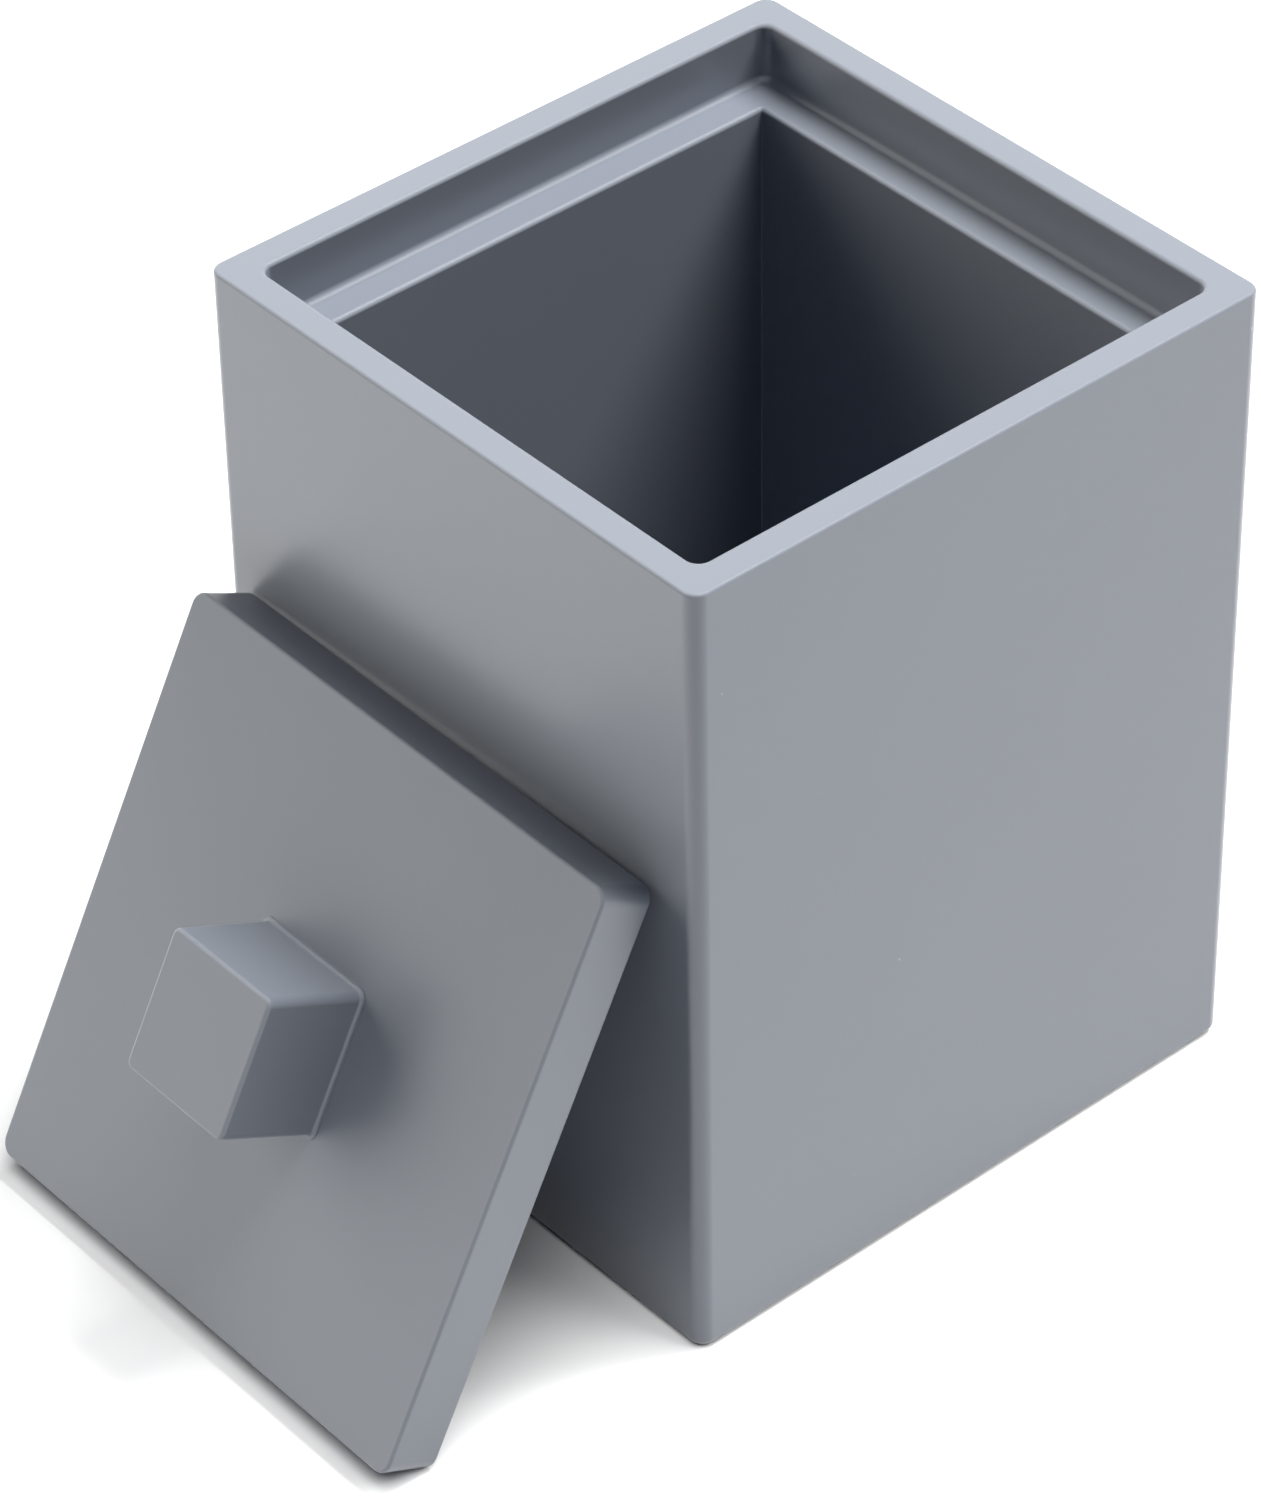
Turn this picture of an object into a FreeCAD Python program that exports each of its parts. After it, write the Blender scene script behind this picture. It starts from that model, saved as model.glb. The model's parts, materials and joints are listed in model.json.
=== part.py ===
"""Square lidded jar for cotton pads: a cast resin canister, a drop-in lid with a block knob, and a non-slip pad.

Millimetres, +Z up. The origin is the centre of the pad's underside. The lid is off: it stands on the same surface
as the canister and leans against the canister's front wall, at -Y, with its knob outwards.
"""
import math
import os

import FreeCAD
import Part

# Canister
body_width = 100.0
body_depth = 102.8
body_height = 133.4
corner_radius = 2.4
base_edge_radius = 2.0
rim_wall = 5.2
rim_outer_radius = 0.5
rim_inner_radius = 0.7
seat_corner_radius = 2.0
seat_fillet_radius = 0.4
ledge_width = 5.8
ledge_edge_radius = 1.0
base_thickness = 10.0
well_draft_angle = 0.8
well_corner_radius = 1.0
well_floor_radius = 0.5

# Non-slip pad, in a recess under the canister
pad_margin = 7.0
pad_recess = 1.0
pad_stand = 0.5
pad_corner_radius = 4.0
pad_clearance = 0.2

# Lid
lid_thickness = 9.4
lid_clearance = 0.5
lid_corner_radius = 2.4
lid_edge_radius = 0.5

# Knob: its front face is a little smaller than its foot, which has a thin bead of lacquer round it
knob_width = 21.3
knob_depth = 22.2
knob_height = 17.3
knob_taper = 0.25
knob_corner_radius = 1.3
knob_front_radius = 0.6
knob_bead_radius = 0.5
knob_bead_edge = 0.15

# Screw and threaded insert that hold the knob
screw_diameter = 4.0
screw_head_diameter = 7.5
screw_hole_clearance = 0.25
screw_tip_gap = 1.5
drive_span = 4.0
drive_width = 0.9
drive_depth = 1.3
insert_diameter = 6.5
insert_cover = 7.0
insert_clearance = 0.05
thread_clearance = 0.05

# How the lid leans
lean_angle = 27.2
lean_yaw = -0.5
lean_shift = -1.7
lean_gap = 0.3

# Sizes that follow from the ones above
seat_level = body_height - lid_thickness
seat_width = body_width - 2 * rim_wall
seat_depth = body_depth - 2 * rim_wall
well_width = seat_width - 2 * ledge_width
well_depth = seat_depth - 2 * ledge_width
base_level = pad_stand + base_thickness
well_draft = (seat_level - base_level) * math.tan(math.radians(well_draft_angle))
pad_width = body_width - 2 * pad_margin
pad_depth = body_depth - 2 * pad_margin
pad_thickness = pad_recess + pad_stand
lid_width = seat_width - 2 * lid_clearance
lid_depth = seat_depth - 2 * lid_clearance
knob_bead_width = knob_bead_radius + knob_bead_edge
insert_length = knob_height - insert_cover
screw_length = lid_thickness + insert_length - screw_tip_gap

LEVEL_TOLERANCE = 1e-6
X_AXIS = FreeCAD.Vector(1, 0, 0)
Z_AXIS = FreeCAD.Vector(0, 0, 1)


def outline(width, depth, radius, level):
    """Closed wire of a level rectangle, centred on the axis, with rounded corners."""
    across = width / 2 - radius
    along = depth / 2 - radius
    quarters = [(across, along, 0), (-across, along, 90), (-across, -along, 180), (across, -along, 270)]
    arcs = []
    for x, y, start in quarters:
        circle = Part.Circle(FreeCAD.Vector(x, y, level), Z_AXIS, radius)
        arcs.append(Part.ArcOfCircle(circle, math.radians(start), math.radians(start + 90)))
    edges = []
    for arc, following in zip(arcs, arcs[1:] + arcs[:1]):
        edges.append(arc.toShape())
        edges.append(Part.makeLine(arc.EndPoint, following.StartPoint))
    return Part.Wire(edges)


def slab(width, depth, radius, level, height):
    """Upright block on a rounded rectangle, from its lower level."""
    return Part.Face(outline(width, depth, radius, level)).extrude(Z_AXIS * height)


def tapered_block(lower, upper, radius, level, height):
    """Upright block with flat, slightly sloping sides between two (width, depth) sizes, its corners rounded."""
    (lower_width, lower_depth), (upper_width, upper_depth) = lower, upper
    block = Part.makeWedge(
        -lower_width / 2, 0, -lower_depth / 2, -upper_depth / 2, -upper_width / 2,
        lower_width / 2, height, lower_depth / 2, upper_depth / 2, upper_width / 2,
    )
    block.rotate(FreeCAD.Vector(), X_AXIS, 90)
    block.translate(Z_AXIS * level)
    corners = [edge for edge in block.Edges if edge.BoundBox.ZLength > height / 2]
    return block.makeFillet(radius, corners)


def rod(diameter, level, height):
    """Round bar on the axis, from its lower level."""
    return Part.makeCylinder(diameter / 2, height, Z_AXIS * level)


def level_face(shape, level):
    """The flat horizontal face at a level."""
    for face in shape.Faces:
        box = face.BoundBox
        if abs(box.ZMin - level) < LEVEL_TOLERANCE and abs(box.ZMax - level) < LEVEL_TOLERANCE:
            return face
    raise ValueError(f"no flat face at level {level}")


def round_outside(shape, level, radius):
    """Round the edges that go round the outside of the flat face at a level."""
    return shape.makeFillet(radius, level_face(shape, level).OuterWire.Edges)


def round_inside(shape, level, radius):
    """Round the edges that go round the hole in the flat face at a level."""
    face = level_face(shape, level)
    hole = next(wire for wire in face.Wires if not wire.isSame(face.OuterWire))
    return shape.makeFillet(radius, hole.Edges)


def canister_body():
    """One casting: walls and floor, the stepped mouth that seats the lid, and the recess for the pad."""
    block = slab(body_width, body_depth, corner_radius, pad_stand, body_height - pad_stand)
    seat = slab(seat_width, seat_depth, seat_corner_radius, seat_level, lid_thickness)
    floor = (well_width - 2 * well_draft, well_depth - 2 * well_draft)
    mouth = (well_width, well_depth)
    well = tapered_block(floor, mouth, well_corner_radius, base_level, seat_level - base_level)
    recess_width = pad_width + 2 * pad_clearance
    recess_depth = pad_depth + 2 * pad_clearance
    recess = slab(recess_width, recess_depth, pad_corner_radius + pad_clearance, pad_stand, pad_recess)
    body = block.cut(seat).cut(well).cut(recess)
    body = round_outside(body, body_height, rim_outer_radius)
    body = round_inside(body, body_height, rim_inner_radius)
    body = round_outside(body, seat_level, seat_fillet_radius)
    body = round_inside(body, seat_level, ledge_edge_radius)
    body = round_outside(body, base_level, well_floor_radius)
    return round_outside(body, pad_stand, base_edge_radius)


def base_pad():
    """Sheet of soft foam rubber that stands a little below the canister."""
    return slab(pad_width, pad_depth, pad_corner_radius, 0, pad_thickness)


def countersunk(diameter, head_diameter, length):
    """Cone and shank of a countersunk screw, head down at level 0; also the tool that cuts its hole."""
    head_height = (head_diameter - diameter) / 2
    head = Part.makeCone(head_diameter / 2, diameter / 2, head_height)
    return head.fuse(rod(diameter, 0, length)).removeSplitter()


def lid_plate():
    """Flat plate, underside at level 0, bored and countersunk from below for the screw."""
    plate = slab(lid_width, lid_depth, lid_corner_radius, 0, lid_thickness)
    plate = round_outside(plate, lid_thickness, lid_edge_radius)
    plate = round_outside(plate, 0, lid_edge_radius)
    spread = 2 * screw_hole_clearance
    return plate.cut(countersunk(screw_diameter + spread, screw_head_diameter + spread, lid_thickness))


def lid_knob():
    """Tapered block on the plate, with rounded edges, a bead round its foot and a blind hole for the insert."""
    foot = (knob_width + 2 * knob_taper, knob_depth + 2 * knob_taper)
    front = (knob_width, knob_depth)
    block = tapered_block(foot, front, knob_corner_radius, lid_thickness, knob_height)
    block = round_outside(block, lid_thickness + knob_height, knob_front_radius)
    bead_width, bead_depth = (size + 2 * knob_bead_width for size in foot)
    bead = slab(bead_width, bead_depth, knob_corner_radius + knob_bead_width, lid_thickness, knob_bead_edge)
    block = round_inside(block.fuse(bead), lid_thickness + knob_bead_edge, knob_bead_radius)
    return block.cut(rod(insert_diameter + 2 * insert_clearance, lid_thickness, insert_length))


def knob_insert():
    """Threaded sleeve in the knob, its end flush with the knob's foot."""
    sleeve = rod(insert_diameter, lid_thickness, insert_length)
    return sleeve.cut(rod(screw_diameter + 2 * thread_clearance, lid_thickness, insert_length))


def knob_screw():
    """Countersunk screw, head flush with the plate's underside, with a cross recess for the driver."""
    screw = countersunk(screw_diameter, screw_head_diameter, screw_length)
    half_span = drive_span / 2
    half_width = drive_width / 2
    arm = Part.makeBox(drive_span, drive_width, drive_depth, FreeCAD.Vector(-half_span, -half_width, 0))
    crossing = Part.makeBox(drive_width, drive_span, drive_depth, FreeCAD.Vector(-half_width, -half_span, 0))
    return screw.cut(arm.fuse(crossing))


def leaning(plate):
    """Placement that stands the plate's lower edge on the surface and its upper edge against the front wall."""
    turn = FreeCAD.Rotation(Z_AXIS, lean_yaw) * FreeCAD.Rotation(X_AXIS, 90 - lean_angle)
    turned = plate.transformed(FreeCAD.Placement(FreeCAD.Vector(), turn).toMatrix())
    reach = turned.optimalBoundingBox(False)
    wall = -body_depth / 2 - lean_gap
    shift = FreeCAD.Vector(lean_shift - reach.Center.x, wall - reach.YMax, -reach.ZMin)
    return FreeCAD.Placement(shift, turn)


def pieces():
    """Every piece of the jar in its place, by name."""
    plate = lid_plate()
    lid_pieces = {
        "lid_plate": plate,
        "lid_knob": lid_knob(),
        "knob_insert": knob_insert(),
        "knob_screw": knob_screw(),
    }
    lean = leaning(plate).toMatrix()
    placed = {"canister_body": canister_body(), "base_pad": base_pad()}
    for name, shape in lid_pieces.items():
        placed[name] = shape.transformed(lean)
    return placed


os.makedirs("parts", exist_ok=True)
for name, shape in pieces().items():
    shape.exportStep(f"parts/{name}.step")
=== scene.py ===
"""Looks of a square cotton pad jar: satin lacquer over cast resin, with its lid leaning on the front wall.

Metres, in the frame of the packed model: +Z up, the origin under the centre of the canister. Four operators
build the canister, the pad, the plate and the knob in mesh code, each over the node that it stands for. One
gives the screw and the sleeve their metals, and the last one builds the floor, the lamps and the camera.
"""
import json
import math

import bmesh
import bpy
from bpy.props import FloatProperty, FloatVectorProperty, PointerProperty
from mathutils import Matrix, Vector

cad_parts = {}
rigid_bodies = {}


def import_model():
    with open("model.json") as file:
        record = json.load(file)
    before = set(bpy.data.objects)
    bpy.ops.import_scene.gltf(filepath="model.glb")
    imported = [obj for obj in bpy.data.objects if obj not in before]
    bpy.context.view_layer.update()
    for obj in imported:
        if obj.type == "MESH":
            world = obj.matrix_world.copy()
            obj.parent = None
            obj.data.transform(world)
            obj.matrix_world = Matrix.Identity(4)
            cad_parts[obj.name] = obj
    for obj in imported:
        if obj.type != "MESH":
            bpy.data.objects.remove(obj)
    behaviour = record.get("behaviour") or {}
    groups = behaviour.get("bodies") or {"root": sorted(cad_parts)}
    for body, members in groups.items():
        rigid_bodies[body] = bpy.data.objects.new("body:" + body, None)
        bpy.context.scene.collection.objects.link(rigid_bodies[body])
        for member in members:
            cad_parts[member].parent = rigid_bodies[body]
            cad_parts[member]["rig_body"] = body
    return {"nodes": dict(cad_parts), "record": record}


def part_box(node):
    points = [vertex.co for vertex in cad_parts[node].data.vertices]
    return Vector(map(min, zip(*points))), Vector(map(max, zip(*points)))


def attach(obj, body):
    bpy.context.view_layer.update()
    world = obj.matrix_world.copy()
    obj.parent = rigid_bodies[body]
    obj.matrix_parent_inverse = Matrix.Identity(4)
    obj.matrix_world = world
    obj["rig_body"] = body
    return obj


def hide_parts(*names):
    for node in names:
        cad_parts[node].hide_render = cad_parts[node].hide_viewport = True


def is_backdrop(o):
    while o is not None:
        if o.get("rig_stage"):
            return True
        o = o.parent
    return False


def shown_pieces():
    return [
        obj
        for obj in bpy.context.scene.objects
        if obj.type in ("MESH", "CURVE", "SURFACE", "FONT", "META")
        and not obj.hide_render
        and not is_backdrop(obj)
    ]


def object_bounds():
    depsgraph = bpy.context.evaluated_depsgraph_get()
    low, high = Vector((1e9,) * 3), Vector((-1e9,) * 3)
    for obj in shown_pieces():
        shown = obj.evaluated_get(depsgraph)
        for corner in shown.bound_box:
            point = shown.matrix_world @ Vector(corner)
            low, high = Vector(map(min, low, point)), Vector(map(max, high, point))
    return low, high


bl_info = {
    "name": "Cotton pad jar",
    "version": (1, 0, 0),
    "blender": (4, 5, 0),
    "location": "3D View > Sidebar > Cotton jar",
    "description": "Builds the pieces, finishes and stage of a square lidded jar for cotton pads",
    "category": "Object",
}

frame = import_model()
CAD_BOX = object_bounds()

BODY_LOW, BODY_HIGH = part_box("canister_body")
PAD_LOW, PAD_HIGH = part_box("base_pad")
PLATE_LOW, PLATE_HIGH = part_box("lid_plate")
MILLIMETRE = 0.001


# Kinds of property
def metres(name, description, value):
    """A length property, written here in metres, as the frame's lengths are."""
    return FloatProperty(
        name=name, description=description, default=value, min=0.0, unit="LENGTH", precision=5
    )


def length(name, description, millimetres):
    """A length property, written here in millimetres."""
    return metres(name, description, millimetres * MILLIMETRE)


def share(name, description, value):
    """A property from 0 to 1."""
    return FloatProperty(
        name=name, description=description, default=value, min=0.0, max=1.0, subtype="FACTOR"
    )


def amount(name, description, value):
    """A plain number, 0 or more."""
    return FloatProperty(name=name, description=description, default=value, min=0.0)


def angle(name, description, degrees):
    """An angle property, written here in degrees."""
    return FloatProperty(name=name, description=description, default=math.radians(degrees), subtype="ANGLE")


def colour(name, description, value):
    """A linear colour property."""
    return FloatVectorProperty(
        name=name, description=description, default=value, size=3, min=0.0, max=1.0, subtype="COLOR"
    )


def place(name, description, value):
    """A point property, in metres."""
    return FloatVectorProperty(
        name=name, description=description, default=value, size=3, subtype="XYZ", unit="LENGTH"
    )


def slot_colour(slot):
    """Colour that the packed record gives a material slot."""
    return next(entry["base_color"] for entry in frame["record"]["materials"] if entry["slot"] == slot)


# Sizes and looks that can be changed
class CanisterSizes(bpy.types.PropertyGroup):
    """Sizes of the cast canister."""

    width: metres("Width", "Outside width, along X", BODY_HIGH.x - BODY_LOW.x)
    depth: metres("Depth", "Outside depth, along Y", BODY_HIGH.y - BODY_LOW.y)
    foot: metres("Foot level", "Height of the underside above the surface", BODY_LOW.z)
    top: metres("Rim level", "Height of the rim above the surface", BODY_HIGH.z)
    corner_radius: length("Corner radius", "Round of the upright outer edges", 2.4)
    base_edge_radius: length("Base edge radius", "Round of the lowest outer edge", 1.1)
    rim_wall: length("Rim wall", "Wall thickness above the lid's seat", 5.2)
    rim_outer_radius: length("Rim outer radius", "Round of the rim's outer edge", 0.5)
    rim_inner_radius: length("Rim inner radius", "Round of the rim's inner edge", 0.7)
    seat_drop: length("Seat depth", "Depth of the lid's seat below the rim", 9.4)
    seat_corner_radius: length("Seat corner radius", "Round of the seat's upright corners", 2.0)
    seat_fillet_radius: length("Seat fillet", "Fillet between the seat's wall and the ledge", 1.0)
    ledge_width: length("Ledge width", "Width of the ledge that carries the lid", 5.8)
    ledge_edge_radius: length("Ledge edge radius", "Round of the ledge's inner edge", 0.7)
    base_thickness: length("Base thickness", "Thickness of the canister's floor", 10.0)
    well_draft: angle("Well draft", "Slope of the well's walls", 0.8)
    well_corner_radius: length("Well corner radius", "Round of the well's upright corners", 0.25)
    well_floor_radius: length("Well floor radius", "Fillet round the well's floor", 0.2)


class PadSizes(bpy.types.PropertyGroup):
    """Sizes of the non-slip pad and of its recess."""

    width: metres("Width", "Width, along X", PAD_HIGH.x - PAD_LOW.x)
    depth: metres("Depth", "Depth, along Y", PAD_HIGH.y - PAD_LOW.y)
    thickness: metres("Thickness", "Height of the pad", PAD_HIGH.z - PAD_LOW.z)
    corner_radius: length("Corner radius", "Round of the pad's corners", 4.0)
    edge_radius: length("Edge radius", "Round of the pad's lower edge", 0.25)
    clearance: length("Clearance", "Gap between the pad and its recess", 0.2)


class LidSizes(bpy.types.PropertyGroup):
    """Sizes of the lid's plate, and how it leans."""

    width: length("Width", "Width of the plate", 88.6)
    depth: length("Depth", "Depth of the plate", 91.4)
    thickness: length("Thickness", "Thickness of the plate", 9.4)
    corner_radius: length("Corner radius", "Round of the plate's corners", 2.4)
    edge_radius: length("Edge radius", "Round of the plate's edges", 0.5)
    hole_diameter: length("Hole diameter", "Hole for the screw's shank", 4.5)
    countersink_diameter: length("Countersink diameter", "Countersink for the screw's head", 8.0)
    lean: angle("Lean", "Slope of the plate from upright", 27.2)
    yaw: angle("Turn", "Turn of the lid about the upright axis", -0.5)


class KnobSizes(bpy.types.PropertyGroup):
    """Sizes of the block knob."""

    width: length("Width", "Width of the front face", 21.3)
    depth: length("Depth", "Depth of the front face", 22.2)
    height: length("Height", "Height above the plate", 17.3)
    taper: length("Taper", "How far each side spreads towards the foot", 0.25)
    corner_radius: length("Corner radius", "Round of the four side edges", 1.3)
    front_radius: length("Front radius", "Round of the front face's edge", 0.6)
    bead_radius: length("Bead radius", "Hollow of the lacquer bead round the foot", 0.5)
    bead_edge: length("Bead edge", "Thickness of the bead's outer edge", 0.15)
    bore_diameter: length("Bore diameter", "Blind hole for the threaded sleeve", 6.6)
    bore_depth: length("Bore depth", "Depth of that hole", 10.3)


class LacquerLook(bpy.types.PropertyGroup):
    """Satin lacquer."""

    base: colour("Lacquer", "Colour of the lacquer", slot_colour("lacquered_resin"))
    dust: colour("Dust", "Colour of the few dust specks", (0.45, 0.47, 0.51))
    roughness: share("Roughness", "Blur of the lacquer's gloss", 0.40)
    coat_roughness: share("Coat roughness", "Blur of the top coat's gloss", 0.30)
    drift: share("Tone drift", "How much the tone changes over a wall", 0.03)
    # Darker, bluer colour for bounced light only: painted shade that deepens the well
    bounced: colour("Bounced colour", "Colour of the lacquer for bounced light", (0.026, 0.046, 0.088))
    peel: length("Orange peel", "Height of the sprayed surface's waves", 0.004)


class FoamLook(bpy.types.PropertyGroup):
    """Foam rubber of the pad."""

    base: colour("Foam", "Colour of the foam rubber", slot_colour("foam_pad"))
    roughness: share("Roughness", "Blur of the foam's gloss", 0.85)
    cells: length("Cells", "Depth of the foam's cells", 0.12)


class MetalLook(bpy.types.PropertyGroup):
    """Metals of the screw and the sleeve."""

    steel: colour("Steel", "Colour of the plated screw", slot_colour("steel_screw"))
    steel_roughness: share("Steel roughness", "Blur of the screw's gloss", 0.32)
    brass: colour("Brass", "Colour of the turned sleeve", slot_colour("brass_insert"))
    brass_roughness: share("Brass roughness", "Blur of the sleeve's gloss", 0.28)


class StageLook(bpy.types.PropertyGroup):
    """Floor, lamps and camera."""

    floor: colour("Floor", "Colour of the floor", (0.90, 0.90, 0.90))
    floor_reach: metres("Floor reach", "Half the floor's side", 6.0)
    white_from: metres("White from", "Distance at which the floor starts to turn plain white", 0.5)
    white_beyond: metres("White beyond", "Distance from which the floor is plain white", 1.2)
    ambient: amount("Ambient", "Light of the world on the object", 0.03)
    bounce: amount("Bounce", "Gain of the floor as it lights the object", 0.355)
    mirrored: amount("Mirrored floor", "Gain of the floor as the lacquer mirrors it", 0.71)
    seen: amount("Seen floor", "Gain of the floor as the camera sees it", 0.95)
    key_power: amount("Key lamp", "Power of the key lamp, in watts", 210.0)
    key_colour: colour("Key colour", "Colour of the key lamp", (1.0, 0.975, 0.95))
    key_size: metres("Key size", "Side of the key lamp", 2.1)
    key_place: place("Key place", "Where the key lamp hangs", (0.48, 1.38, 3.20))
    gloss_power: amount("Gloss panel", "Power of the panel mirrored in the lacquer, in watts", 64.0)
    fill_power: amount("Fill lamp", "Power of the fill lamp, in watts", 11.2)
    fill_colour: colour("Fill colour", "Colour of the fill lamp", (1.0, 0.94, 0.81))
    fill_size: metres("Fill size", "Side of the fill lamp", 1.0)
    fill_place: place("Fill place", "Where the fill lamp hangs", (-0.95, -0.80, 0.47))
    floor_power: amount("Floor lamp", "Power of the lamp over the floor, in watts", 36.0)
    floor_size: metres("Floor lamp size", "Side of the floor lamp", 1.4)
    floor_place: place("Floor lamp place", "Where the floor lamp hangs", (0.38, -0.58, 1.80))
    rear_power: amount("Rear floor lamp", "Power of the lamp over the floor beside the jar, in watts", 18.0)
    rear_size: metres("Rear lamp size", "Side of the rear floor lamp", 1.0)
    rear_place: place("Rear lamp place", "Where the rear floor lamp hangs", (0.95, 0.68, 1.10))
    shadow_power: amount("Shadow lamp", "Power of the lamp that casts the lid's shadow, in watts", 135.0)
    shadow_size: metres("Shadow lamp size", "Side of the shadow lamp", 1.0)
    shadow_place: place("Shadow lamp place", "Where the shadow lamp hangs", (0.32, 1.38, 3.20))
    eye: place("Camera", "Where the camera stands", (0.521239, -0.463969, 0.617120))
    aim: place("Aim", "The point that the camera looks at", (0.056579, -0.067972, 0.122036))
    roll: angle("Roll", "Turn of the camera about its line of sight", -1.051)
    lens: FloatProperty(name="Lens", description="Focal length", default=149.96, unit="CAMERA")
    sensor: FloatProperty(name="Sensor", description="Width of the sensor", default=36.0, unit="CAMERA")


# Mesh helpers
CORNER_SEGMENTS = 12
EDGE_SEGMENTS = 6
LEVEL_TOLERANCE = 1e-6
BRIDGE_LIFT = Vector((0, 0, 0.25))
SHARP_ANGLE = math.radians(40)
SIGNS = ((-1, -1), (1, -1), (1, 1), (-1, 1))


def fresh_edges(bm, known):
    """Edges that were not there before."""
    return [edge for edge in bm.edges if edge not in known]


def rounded_outline(bm, width, depth, radius, level):
    """Edges of a level rectangle with round corners, centred on the axis."""
    known = set(bm.edges)
    corners = [bm.verts.new((x * width / 2, y * depth / 2, level)) for x, y in SIGNS]
    bm.faces.new(corners)
    bmesh.ops.bevel(
        bm, geom=corners, offset=radius, offset_type="OFFSET", affect="VERTICES",
        segments=CORNER_SEGMENTS, profile=0.5, material=-1,
    )
    edges = fresh_edges(bm, known)
    faces = list({face for edge in edges for face in edge.link_faces})
    bmesh.ops.delete(bm, geom=faces, context="FACES_ONLY")
    return edges


def round_outline(bm, diameter, level):
    """Edges of a level circle on the axis, with as many points as a rounded rectangle."""
    known = set(bm.edges)
    bmesh.ops.create_circle(
        bm, segments=4 * (CORNER_SEGMENTS + 1), radius=diameter / 2,
        matrix=Matrix.Translation((0, 0, level)),
    )
    return fresh_edges(bm, known)


def skin(bm, outlines):
    """Walls from each outline to the next.

    The next one is raised meanwhile, because bridging twists outlines that lie on one level.
    """
    for first, second in zip(outlines, outlines[1:]):
        points = list({vert for edge in second for vert in edge.verts})
        bmesh.ops.translate(bm, verts=points, vec=BRIDGE_LIFT)
        bmesh.ops.bridge_loops(bm, edges=first + second)
        bmesh.ops.translate(bm, verts=points, vec=-BRIDGE_LIFT)


def cap(bm, outline):
    """Close an outline with one face."""
    bmesh.ops.edgeloop_fill(bm, edges=outline)


def opened_face(bm, level):
    """Take out the flat face at a level and give the edges that were round it."""
    flats = [
        face for face in bm.faces
        if all(abs(vert.co.z - level) < LEVEL_TOLERANCE for vert in face.verts)
    ]
    face = max(flats, key=bmesh.types.BMFace.calc_area)
    edges = list(face.edges)
    bmesh.ops.delete(bm, geom=[face], context="FACES_ONLY")
    return edges


def round_edges(bm, edges, radius):
    """Round a run of edges."""
    bmesh.ops.bevel(
        bm, geom=edges, offset=radius, offset_type="OFFSET", affect="EDGES",
        segments=EDGE_SEGMENTS, profile=0.5, material=-1,
    )


def lid_seating(lid):
    """Where the lid's own frame, with its underside level at 0, stands in the jar's frame."""
    centre = (PLATE_LOW + PLATE_HIGH) / 2
    turn = Matrix.Rotation(lid.yaw, 4, "Z") @ Matrix.Rotation(math.pi / 2 - lid.lean, 4, "X")
    return Matrix.Translation(centre) @ turn @ Matrix.Translation((0, 0, -lid.thickness / 2))


def finish_piece(bm, name, node, material):
    """Turn the mesh into an object that stands for a node and moves with that node's body."""
    bmesh.ops.recalc_face_normals(bm, faces=bm.faces)
    mesh = bpy.data.meshes.new(name)
    bm.to_mesh(mesh)
    bm.free()
    mesh.shade_smooth()
    mesh.set_sharp_from_angle(angle=SHARP_ANGLE)
    mesh.materials.append(material)
    piece = bpy.data.objects.new(name, mesh)
    bpy.context.scene.collection.objects.link(piece)
    piece.modifiers.new("Even shading", "WEIGHTED_NORMAL").keep_sharp = True
    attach(piece, frame["nodes"][node]["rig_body"])
    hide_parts(node)
    return piece


# Shader helpers and shared groups
def node_group(name, inputs, outputs):
    """Empty shader group with named float or vector sockets."""
    group = bpy.data.node_groups.new(name, "ShaderNodeTree")
    for label, kind in inputs:
        group.interface.new_socket(label, in_out="INPUT", socket_type=kind)
    for label, kind in outputs:
        group.interface.new_socket(label, in_out="OUTPUT", socket_type=kind)
    return group, group.nodes.new("NodeGroupInput"), group.nodes.new("NodeGroupOutput")


def math_node(tree, operation, first, second):
    """Math node; each operand is a socket or a number."""
    node = tree.nodes.new("ShaderNodeMath")
    node.operation = operation
    for socket, value in zip(node.inputs, (first, second)):
        if isinstance(value, bpy.types.NodeSocket):
            tree.links.new(value, socket)
        else:
            socket.default_value = value
    return node.outputs["Value"]


def by_ray(tree, plain, **others):
    """A plain value, or another one for a kind of ray: camera, diffuse, glossy or transmission."""
    paths = tree.nodes.new("ShaderNodeLightPath")
    result = plain
    for kind, value in others.items():
        gain = math_node(tree, "MULTIPLY", paths.outputs[f"Is {kind.title()} Ray"], value - plain)
        result = math_node(tree, "ADD", gain, result)
    return result


def noise(tree, vector, scale, detail):
    """Noise texture on a vector; the scale is a socket or a number."""
    node = tree.nodes.new("ShaderNodeTexNoise")
    tree.links.new(vector, node.inputs["Vector"])
    node.inputs["Detail"].default_value = detail
    if isinstance(scale, bpy.types.NodeSocket):
        tree.links.new(scale, node.inputs["Scale"])
    else:
        node.inputs["Scale"].default_value = scale
    return node.outputs["Fac"]


def drift_group():
    """Slow change of tone over a surface: a factor near 1."""
    found = bpy.data.node_groups.get("Tone drift")
    if found:
        return found
    inputs = [("Vector", "NodeSocketVector"), ("Scale", "NodeSocketFloat"), ("Amount", "NodeSocketFloat")]
    group, into, out = node_group("Tone drift", inputs, [("Factor", "NodeSocketFloat")])
    waves = noise(group, into.outputs["Vector"], into.outputs["Scale"], detail=3.0)
    centred = math_node(group, "SUBTRACT", waves, 0.5)
    swing = math_node(group, "MULTIPLY", centred, into.outputs["Amount"])
    doubled = math_node(group, "MULTIPLY", swing, 2.0)
    group.links.new(math_node(group, "ADD", doubled, 1.0), out.inputs["Factor"])
    return group


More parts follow.
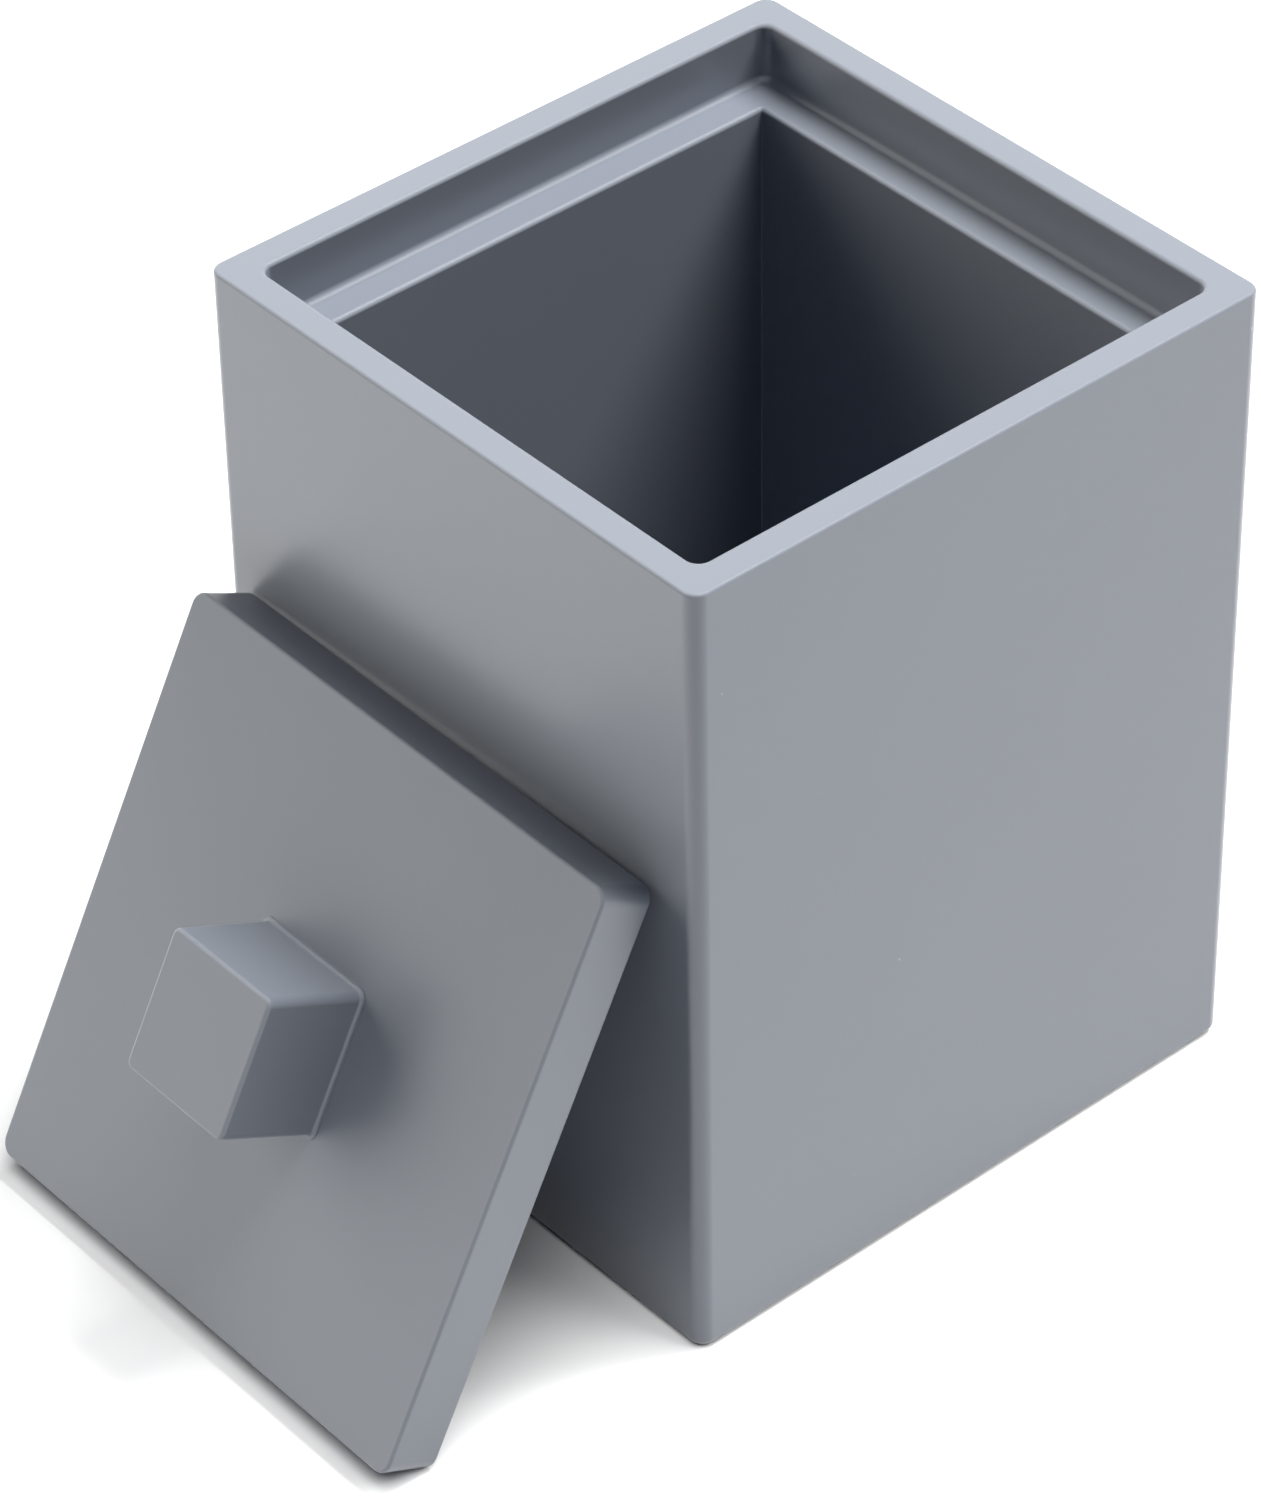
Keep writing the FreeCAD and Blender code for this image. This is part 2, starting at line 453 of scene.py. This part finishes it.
def speck_group():
    """Sparse small specks: a mask that is 1 in a speck."""
    found = bpy.data.node_groups.get("Specks")
    if found:
        return found
    inputs = [
        ("Vector", "NodeSocketVector"), ("Scale", "NodeSocketFloat"),
        ("Size", "NodeSocketFloat"), ("Share", "NodeSocketFloat"),
    ]
    group, into, out = node_group("Specks", inputs, [("Mask", "NodeSocketFloat")])
    cells = group.nodes.new("ShaderNodeTexVoronoi")
    group.links.new(into.outputs["Vector"], cells.inputs["Vector"])
    group.links.new(into.outputs["Scale"], cells.inputs["Scale"])
    chance = group.nodes.new("ShaderNodeSeparateColor")
    group.links.new(cells.outputs["Color"], chance.inputs["Color"])
    chosen = math_node(group, "LESS_THAN", chance.outputs["Red"], into.outputs["Share"])
    size = math_node(group, "MULTIPLY", chance.outputs["Green"], into.outputs["Size"])
    near = math_node(group, "LESS_THAN", cells.outputs["Distance"], size)
    group.links.new(math_node(group, "MULTIPLY", chosen, near), out.inputs["Mask"])
    return group


def place_group(tree, group, vector, **values):
    """A group in a material, fed with a vector and its own values."""
    node = tree.nodes.new("ShaderNodeGroup")
    node.node_tree = group
    tree.links.new(vector, node.inputs["Vector"])
    for label, value in values.items():
        node.inputs[label].default_value = value
    return node.outputs[0]


def new_material(name):
    """Material with its shader and its Object coordinates."""
    material = bpy.data.materials.new(name)
    material.use_nodes = True
    tree = material.node_tree
    coordinates = tree.nodes.new("ShaderNodeTexCoord").outputs["Object"]
    return material, tree, tree.nodes["Principled BSDF"], coordinates


def scaled_colour(tree, rgb, factor):
    """A colour times a factor socket."""
    node = tree.nodes.new("ShaderNodeVectorMath")
    node.operation = "SCALE"
    node.inputs[0].default_value = rgb
    tree.links.new(factor, node.inputs["Scale"])
    return node.outputs["Vector"]


def mixed_colour(tree, mask, lower, upper):
    """Mix of a colour socket and a plain colour by a mask."""
    node = tree.nodes.new("ShaderNodeMix")
    node.data_type = "RGBA"
    tree.links.new(mask, node.inputs["Factor"])
    tree.links.new(lower, node.inputs["A"])
    node.inputs["B"].default_value = (*upper, 1.0)
    return node.outputs["Result"]


def bump(tree, height, distance, shader):
    """Bump from a height socket into a shader's normal."""
    node = tree.nodes.new("ShaderNodeBump")
    node.inputs["Distance"].default_value = distance
    tree.links.new(height, node.inputs["Height"])
    tree.links.new(node.outputs["Normal"], shader.inputs["Normal"])


# Finishes
def lacquer():
    """Satin blue-grey lacquer: an even tone, faint orange peel and a few specks of dust under the top coat.

    Light that bounces from wall to wall meets a darker, bluer colour, which deepens and blues the shade in
    the well: painted shade. The camera and mirrored rays see the lacquer's own colour.
    """
    found = bpy.data.materials.get("satin_lacquer")
    if found:
        return found
    look = bpy.context.scene.jar_lacquer
    material, tree, shader, coordinates = new_material("satin_lacquer")
    tone = place_group(tree, drift_group(), coordinates, Scale=22.0, Amount=look.drift)
    specks = place_group(tree, speck_group(), coordinates, Scale=160.0, Size=0.05, Share=0.012)
    base = mixed_colour(tree, specks, scaled_colour(tree, look.base, tone), look.dust)
    # Bounced light meets the darker, bluer colour: painted shade in the well and between the parts
    relit = mixed_colour(tree, by_ray(tree, 0.0, diffuse=1.0), base, look.bounced)
    tree.links.new(relit, shader.inputs["Base Color"])
    blur = place_group(tree, drift_group(), coordinates, Scale=60.0, Amount=0.05)
    tree.links.new(math_node(tree, "MULTIPLY", blur, look.roughness), shader.inputs["Roughness"])
    shader.inputs["Specular IOR Level"].default_value = 0.3
    shader.inputs["Coat Weight"].default_value = 1.0
    shader.inputs["Coat Roughness"].default_value = look.coat_roughness
    bump(tree, noise(tree, coordinates, scale=700.0, detail=2.0), look.peel, shader)
    return material


def foam_rubber():
    """Black foam rubber with fine closed cells."""
    look = bpy.context.scene.jar_foam
    material, tree, shader, coordinates = new_material("foam_rubber")
    tone = place_group(tree, drift_group(), coordinates, Scale=400.0, Amount=0.3)
    tree.links.new(scaled_colour(tree, look.base, tone), shader.inputs["Base Color"])
    shader.inputs["Roughness"].default_value = look.roughness
    bump(tree, noise(tree, coordinates, scale=1800.0, detail=3.0), look.cells, shader)
    return material


def plated_metal(name, rgb, roughness):
    """Turned or plated metal with fine wear."""
    material, tree, shader, coordinates = new_material(name)
    tone = place_group(tree, drift_group(), coordinates, Scale=300.0, Amount=0.12)
    tree.links.new(scaled_colour(tree, rgb, tone), shader.inputs["Base Color"])
    blur = place_group(tree, drift_group(), coordinates, Scale=900.0, Amount=0.25)
    tree.links.new(math_node(tree, "MULTIPLY", blur, roughness), shader.inputs["Roughness"])
    shader.inputs["Metallic"].default_value = 1.0
    return material


# Pieces
class JAR_OT_canister(bpy.types.Operator):
    """Build the cast canister with its stepped mouth and its well"""

    bl_idname = "jar.canister"
    bl_label = "Canister"

    def execute(self, context):
        sizes = context.scene.jar_canister
        pad = context.scene.jar_pad
        seat_width = sizes.width - 2 * sizes.rim_wall
        seat_depth = sizes.depth - 2 * sizes.rim_wall
        seat_level = sizes.top - sizes.seat_drop
        well_width = seat_width - 2 * sizes.ledge_width
        well_depth = seat_depth - 2 * sizes.ledge_width
        floor_level = sizes.foot + sizes.base_thickness
        draft = (seat_level - floor_level) * math.tan(sizes.well_draft)
        recess_width = pad.width + 2 * pad.clearance
        recess_depth = pad.depth + 2 * pad.clearance
        recess_radius = pad.corner_radius + pad.clearance
        bm = bmesh.new()
        recess_roof = rounded_outline(bm, recess_width, recess_depth, recess_radius, pad.thickness)
        recess_mouth = rounded_outline(bm, recess_width, recess_depth, recess_radius, sizes.foot)
        base_edge = rounded_outline(bm, sizes.width, sizes.depth, sizes.corner_radius, sizes.foot)
        rim_outside = rounded_outline(bm, sizes.width, sizes.depth, sizes.corner_radius, sizes.top)
        rim_inside = rounded_outline(bm, seat_width, seat_depth, sizes.seat_corner_radius, sizes.top)
        seat_edge = rounded_outline(bm, seat_width, seat_depth, sizes.seat_corner_radius, seat_level)
        ledge_edge = rounded_outline(bm, well_width, well_depth, sizes.well_corner_radius, seat_level)
        well_floor = rounded_outline(
            bm, well_width - 2 * draft, well_depth - 2 * draft, sizes.well_corner_radius, floor_level
        )
        skin(bm, [
            recess_roof, recess_mouth, base_edge, rim_outside, rim_inside, seat_edge, ledge_edge, well_floor
        ])
        cap(bm, recess_roof)
        cap(bm, well_floor)
        round_edges(bm, base_edge, sizes.base_edge_radius)
        round_edges(bm, rim_outside, sizes.rim_outer_radius)
        round_edges(bm, rim_inside, sizes.rim_inner_radius)
        round_edges(bm, seat_edge, sizes.seat_fillet_radius)
        round_edges(bm, ledge_edge, sizes.ledge_edge_radius)
        round_edges(bm, well_floor, sizes.well_floor_radius)
        finish_piece(bm, "canister_casting", "canister_body", lacquer())
        return {"FINISHED"}


class JAR_OT_base_pad(bpy.types.Operator):
    """Build the non-slip pad under the canister"""

    bl_idname = "jar.base_pad"
    bl_label = "Non-slip pad"

    def execute(self, context):
        sizes = context.scene.jar_pad
        bm = bmesh.new()
        under = rounded_outline(bm, sizes.width, sizes.depth, sizes.corner_radius, 0.0)
        over = rounded_outline(bm, sizes.width, sizes.depth, sizes.corner_radius, sizes.thickness)
        skin(bm, [under, over])
        cap(bm, under)
        cap(bm, over)
        round_edges(bm, under, sizes.edge_radius)
        pad = finish_piece(bm, "non_slip_pad", "base_pad", foam_rubber())
        return {"FINISHED"}


class JAR_OT_lid_plate(bpy.types.Operator):
    """Build the lid's plate, leaning on the front wall"""

    bl_idname = "jar.lid_plate"
    bl_label = "Lid plate"

    def execute(self, context):
        sizes = context.scene.jar_lid
        sink_depth = (sizes.countersink_diameter - sizes.hole_diameter) / 2
        bm = bmesh.new()
        under = rounded_outline(bm, sizes.width, sizes.depth, sizes.corner_radius, 0.0)
        over = rounded_outline(bm, sizes.width, sizes.depth, sizes.corner_radius, sizes.thickness)
        skin(bm, [under, over])
        cap(bm, under)
        cap(bm, over)
        round_edges(bm, over, sizes.edge_radius)
        round_edges(bm, under, sizes.edge_radius)
        flat_under = opened_face(bm, 0.0)
        flat_over = opened_face(bm, sizes.thickness)
        sink = round_outline(bm, sizes.countersink_diameter, 0.0)
        neck = round_outline(bm, sizes.hole_diameter, sink_depth)
        mouth = round_outline(bm, sizes.hole_diameter, sizes.thickness)
        skin(bm, [flat_under, sink, neck, mouth, flat_over])
        bm.transform(lid_seating(sizes))
        finish_piece(bm, "lid_panel", "lid_plate", lacquer())
        return {"FINISHED"}


class JAR_OT_lid_knob(bpy.types.Operator):
    """Build the block knob on the lid"""

    bl_idname = "jar.lid_knob"
    bl_label = "Knob"

    def execute(self, context):
        sizes = context.scene.jar_knob
        lid = context.scene.jar_lid
        foot_level = lid.thickness
        front_level = foot_level + sizes.height
        bead_level = foot_level + sizes.bead_edge
        foot_width = sizes.width + 2 * sizes.taper
        foot_depth = sizes.depth + 2 * sizes.taper
        spread = sizes.bead_radius + sizes.bead_edge
        bead_width = foot_width + 2 * spread
        bead_depth = foot_depth + 2 * spread
        bm = bmesh.new()
        bead_under = rounded_outline(bm, bead_width, bead_depth, sizes.corner_radius + spread, foot_level)
        bead_over = rounded_outline(bm, bead_width, bead_depth, sizes.corner_radius + spread, bead_level)
        foot = rounded_outline(bm, foot_width, foot_depth, sizes.corner_radius, bead_level)
        front = rounded_outline(bm, sizes.width, sizes.depth, sizes.corner_radius, front_level)
        skin(bm, [bead_under, bead_over, foot, front])
        cap(bm, front)
        round_edges(bm, foot, sizes.bead_radius)
        round_edges(bm, front, sizes.front_radius)
        bore_mouth = round_outline(bm, sizes.bore_diameter, foot_level)
        bore_end = round_outline(bm, sizes.bore_diameter, foot_level + sizes.bore_depth)
        skin(bm, [bead_under, bore_mouth, bore_end])
        cap(bm, bore_end)
        bm.transform(lid_seating(lid))
        finish_piece(bm, "knob_block", "lid_knob", lacquer())
        return {"FINISHED"}


class JAR_OT_knob_fixing(bpy.types.Operator):
    """Give the screw and the threaded sleeve their metal finishes"""

    bl_idname = "jar.knob_fixing"
    bl_label = "Screw and sleeve"

    def execute(self, context):
        look = context.scene.jar_metal
        finishes = {
            "knob_screw": plated_metal("zinc_plated_steel", look.steel, look.steel_roughness),
            "knob_insert": plated_metal("turned_brass", look.brass, look.brass_roughness),
        }
        for node, material in finishes.items():
            mesh = frame["nodes"][node].data
            mesh.materials.clear()
            mesh.materials.append(material)
        return {"FINISHED"}


# Stage
def far_whiteness(tree, look):
    """0 near the jar and 1 far from it, for camera rays alone."""
    distance = tree.nodes.new("ShaderNodeVectorMath")
    distance.operation = "LENGTH"
    tree.links.new(tree.nodes.new("ShaderNodeTexCoord").outputs["Object"], distance.inputs[0])
    rise = tree.nodes.new("ShaderNodeMapRange")
    rise.interpolation_type = "SMOOTHSTEP"
    rise.inputs["From Min"].default_value = look.white_from
    rise.inputs["From Max"].default_value = look.white_beyond
    tree.links.new(distance.outputs["Value"], rise.inputs["Value"])
    return math_node(tree, "MULTIPLY", rise.outputs["Result"], by_ray(tree, 0.0, camera=1.0))


def build_floor(look):
    """White floor with the jar's shadow on it, which turns plain white away from the jar."""
    bm = bmesh.new()
    bmesh.ops.create_grid(bm, x_segments=8, y_segments=8, size=look.floor_reach)
    mesh = bpy.data.meshes.new("floor")
    bm.to_mesh(mesh)
    bm.free()
    floor = bpy.data.objects.new("floor", mesh)
    bpy.context.scene.collection.objects.link(floor)
    material = bpy.data.materials.new("white_floor")
    material.use_nodes = True
    tree = material.node_tree
    tree.nodes.clear()
    output = tree.nodes.new("ShaderNodeOutputMaterial")
    diffuse = tree.nodes.new("ShaderNodeBsdfDiffuse")
    gain = by_ray(tree, look.bounce, camera=look.seen, glossy=look.mirrored)
    tree.links.new(scaled_colour(tree, look.floor, gain), diffuse.inputs["Color"])
    white = tree.nodes.new("ShaderNodeEmission")
    surface = tree.nodes.new("ShaderNodeMixShader")
    tree.links.new(far_whiteness(tree, look), surface.inputs["Fac"])
    tree.links.new(diffuse.outputs["BSDF"], surface.inputs[1])
    tree.links.new(white.outputs["Emission"], surface.inputs[2])
    tree.links.new(surface.outputs["Shader"], output.inputs["Surface"])
    mesh.materials.append(material)
    floor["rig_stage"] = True
    return floor


def build_world(look):
    """Even white surroundings: full white where seen or mirrored, and a low ambient light otherwise."""
    world = bpy.data.worlds.new("White surroundings")
    bpy.context.scene.world = world
    world.use_nodes = True
    tree = world.node_tree
    background = tree.nodes["Background"]
    background.inputs["Color"].default_value = (1.0, 1.0, 1.0, 1.0)
    strength = by_ray(tree, look.ambient, camera=1.0, glossy=1.0, transmission=1.0)
    tree.links.new(strength, background.inputs["Strength"])


def area_lamp(name, power, side, spot, receivers):
    """Square lamp that points at the jar and lights only the receivers."""
    light = bpy.data.lights.new(name, "AREA")
    light.energy = power
    light.size = side
    lamp = bpy.data.objects.new(name, light)
    bpy.context.scene.collection.objects.link(lamp)
    lamp.location = spot
    middle = (CAD_BOX[0] + CAD_BOX[1]) / 2
    lamp.rotation_euler = (Vector(spot) - middle).to_track_quat("Z", "Y").to_euler()
    lamp.visible_camera = False
    lit = bpy.data.collections.new(name + " receivers")
    for receiver in receivers:
        lit.objects.link(receiver)
    lamp.light_linking.receiver_collection = lit
    return lamp


def build_camera(look):
    """Camera at the photograph's place."""
    data = bpy.data.cameras.new("camera")
    data.sensor_width = look.sensor
    data.lens = look.lens
    camera = bpy.data.objects.new("camera", data)
    bpy.context.scene.collection.objects.link(camera)
    sight = (Vector(look.aim) - Vector(look.eye)).to_track_quat("-Z", "Y").to_matrix().to_4x4()
    camera.matrix_world = Matrix.Translation(look.eye) @ sight @ Matrix.Rotation(look.roll, 4, "Z")
    bpy.context.scene.camera = camera


class JAR_OT_stage(bpy.types.Operator):
    """Build the floor, the surroundings, the lamps and the camera"""

    bl_idname = "jar.stage"
    bl_label = "Stage"

    def execute(self, context):
        look = context.scene.jar_stage
        context.scene.view_settings.view_transform = "Standard"
        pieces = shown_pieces()
        floor = build_floor(look)
        build_world(look)
        key = area_lamp("key_lamp", look.key_power, look.key_size, look.key_place, pieces)
        key.visible_glossy = False
        key.data.color = look.key_colour
        panel = area_lamp("gloss_panel", look.gloss_power, look.key_size, look.key_place, pieces)
        panel.visible_diffuse = False
        fill = area_lamp("fill_lamp", look.fill_power, look.fill_size, look.fill_place, pieces)
        fill.visible_glossy = False
        fill.data.color = look.fill_colour
        area_lamp("floor_lamp", look.floor_power, look.floor_size, look.floor_place, [floor])
        area_lamp("rear_floor_lamp", look.rear_power, look.rear_size, look.rear_place, [floor])
        area_lamp("shadow_lamp", look.shadow_power, look.shadow_size, look.shadow_place, [floor])
        build_camera(look)
        return {"FINISHED"}


# Add-on
OPERATORS = (
    JAR_OT_canister,
    JAR_OT_base_pad,
    JAR_OT_lid_plate,
    JAR_OT_lid_knob,
    JAR_OT_knob_fixing,
    JAR_OT_stage,
)

GROUPS = {
    "jar_canister": CanisterSizes,
    "jar_pad": PadSizes,
    "jar_lid": LidSizes,
    "jar_knob": KnobSizes,
    "jar_lacquer": LacquerLook,
    "jar_foam": FoamLook,
    "jar_metal": MetalLook,
    "jar_stage": StageLook,
}


class JAR_PT_pieces(bpy.types.Panel):
    """Sidebar list of the jar's sizes, looks and build steps"""

    bl_idname = "JAR_PT_pieces"
    bl_label = "Cotton pad jar"
    bl_space_type = "VIEW_3D"
    bl_region_type = "UI"
    bl_category = "Cotton jar"

    def draw(self, context):
        for attribute, group in GROUPS.items():
            box = self.layout.box()
            box.label(text=group.__doc__)
            for name in group.__annotations__:
                box.prop(getattr(context.scene, attribute), name)
        for operator in OPERATORS:
            self.layout.operator(operator.bl_idname)


CLASSES = (*GROUPS.values(), *OPERATORS, JAR_PT_pieces)


def register():
    for cls in CLASSES:
        bpy.utils.register_class(cls)
    for attribute, group in GROUPS.items():
        setattr(bpy.types.Scene, attribute, PointerProperty(type=group))


def unregister():
    for attribute in GROUPS:
        delattr(bpy.types.Scene, attribute)
    for cls in reversed(CLASSES):
        bpy.utils.unregister_class(cls)


def main():
    register()
    bpy.ops.jar.canister()
    bpy.ops.jar.base_pad()
    bpy.ops.jar.lid_plate()
    bpy.ops.jar.lid_knob()
    bpy.ops.jar.knob_fixing()
    bpy.ops.jar.stage()


if __name__ == "__main__":
    main()
